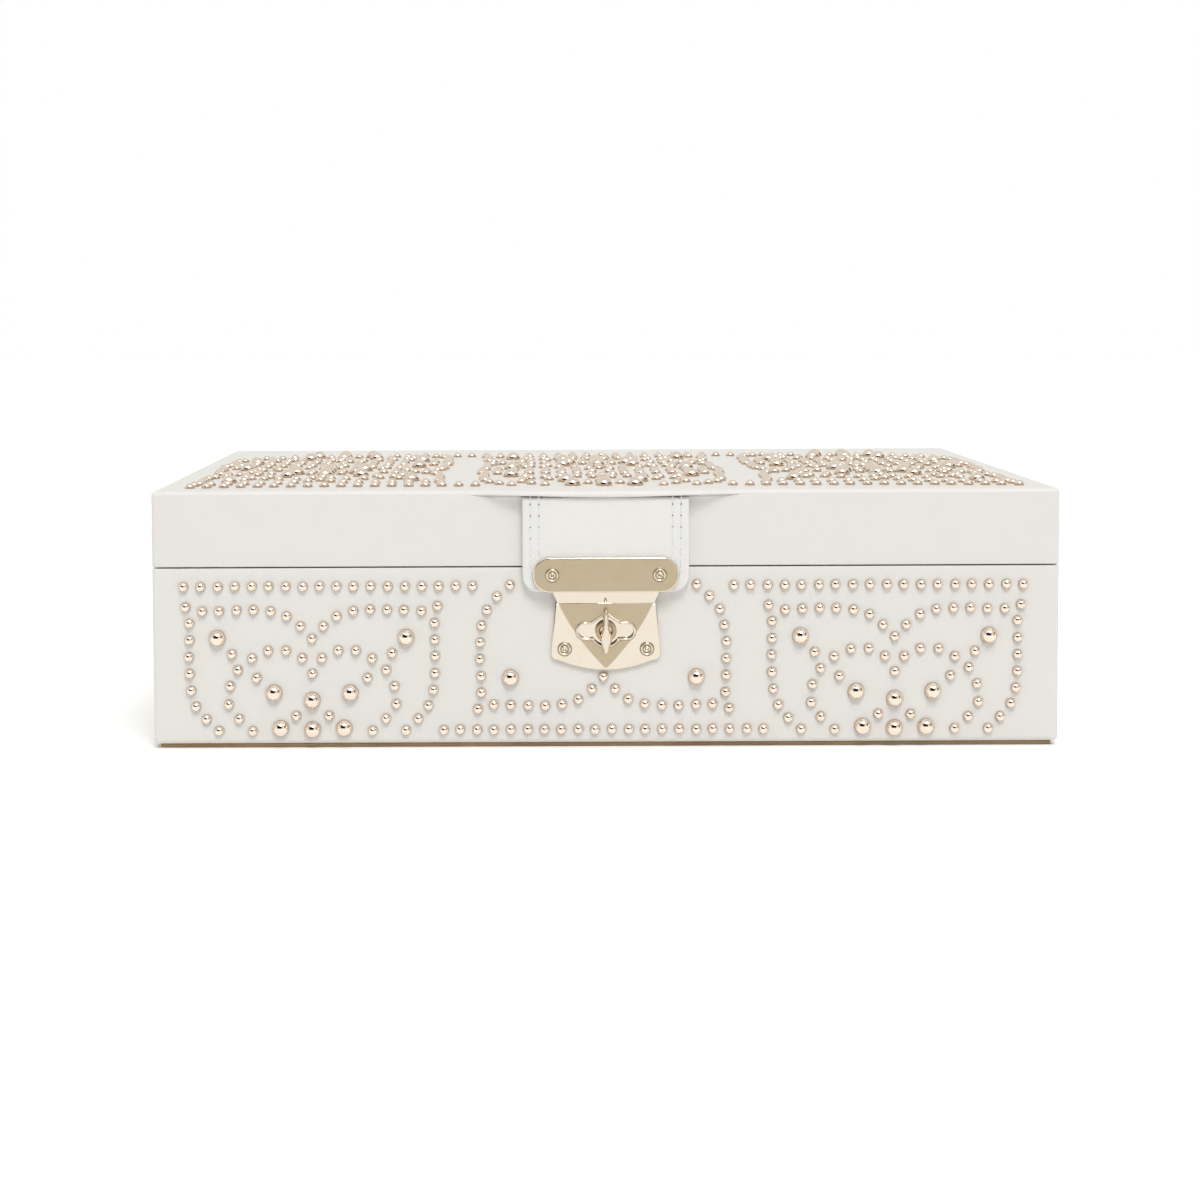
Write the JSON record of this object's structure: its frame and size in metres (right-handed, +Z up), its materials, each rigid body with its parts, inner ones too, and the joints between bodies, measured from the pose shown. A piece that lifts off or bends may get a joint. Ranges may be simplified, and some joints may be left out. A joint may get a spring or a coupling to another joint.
{
  "type": "jewellery box",
  "caption": "Low leather-covered jewellery box with a hinged mirror lid, suede-lined compartments, ring rolls and a turn-lock clasp on a leather tab.",
  "frame": {"origin": "centre of the base pad's underside, at the middle of the leather body's width and depth", "axes": "+Z up, -Y towards the clasp at the front, +X to the right as seen from the front"},
  "size_m": [0.311, 0.2279, 0.09],
  "materials": {
    "leather": "off-white fine-grained coated leather",
    "suede": "tan microsuede",
    "base_cloth": "tan flocked cloth",
    "board": "fibreboard",
    "foam": "thin foam sheet",
    "gold": "pale gold plate, polished and brushed",
    "steel": "plain turned steel",
    "mirror": "silvered glass"
  },
  "bodies": {
    "case": {"base_pad": "base_cloth", "case_cover": "leather", "case_front_board": "board", "case_back_board": "board", "case_left_board": "board", "case_right_board": "board", "case_floor_board": "board", "lining_front": "suede", "lining_back": "suede", "lining_left": "suede", "lining_right": "suede", "floor_pad": "suede", "divider_left": "suede", "divider_right": "suede", "cross_left": "suede", "cross_right": "suede", "cross_middle_front": "suede", "cross_middle_back": "suede", "ring_bed": "suede", "ring_roll_1": "suede", "ring_roll_2": "suede", "ring_roll_3": "suede", "ring_roll_4": "suede", "ring_roll_5": "suede", "ring_roll_6": "suede", "hinge_left_case_leaf": "gold", "hinge_left_pin": "steel", "hinge_right_case_leaf": "gold", "hinge_right_pin": "steel", "case_screw_left_1": "gold", "case_screw_left_2": "gold", "case_screw_right_1": "gold", "case_screw_right_2": "gold", "lock_plate": "gold", "lock_rivet_left": "gold", "lock_rivet_right": "gold", "lock_collar": "gold"},
    "lid": {"lid_cover": "leather", "lid_foam": "foam", "lid_top_board": "board", "lid_front_board": "suede", "lid_back_board": "suede", "lid_left_board": "suede", "lid_right_board": "suede", "lid_liner_panel": "suede", "lid_mirror": "mirror", "hinge_left_lid_leaf": "gold", "hinge_right_lid_leaf": "gold", "lid_screw_left_1": "gold", "lid_screw_left_2": "gold", "lid_screw_right_1": "gold", "lid_screw_right_2": "gold"},
    "hasp": {"clasp_tab": "leather", "hasp_plate": "gold", "hasp_rivet_left": "gold", "hasp_rivet_right": "gold"},
    "turn_knob": {"turn_knob": "gold", "knob_washer": "steel"}
  },
  "joints": [
    {"name": "lid_hinge", "type": "hinge", "parent": "case", "child": "lid", "pos_m": [0, 0.11055, 0.0625], "axis": [-1, 0, 0], "range_deg": [0, 95]},
    {"name": "hasp_swing", "type": "hinge", "parent": "lid", "child": "hasp", "pos_m": [0, -0.10965, 0.0851], "axis": [-1, 0, 0], "range_deg": [0, 90]},
    {"name": "turn_knob_turn", "type": "hinge", "parent": "case", "child": "turn_knob", "pos_m": [0, -0.11145, 0.0406], "axis": [0, 1, 0], "range_deg": [0, 90]}
  ]
}
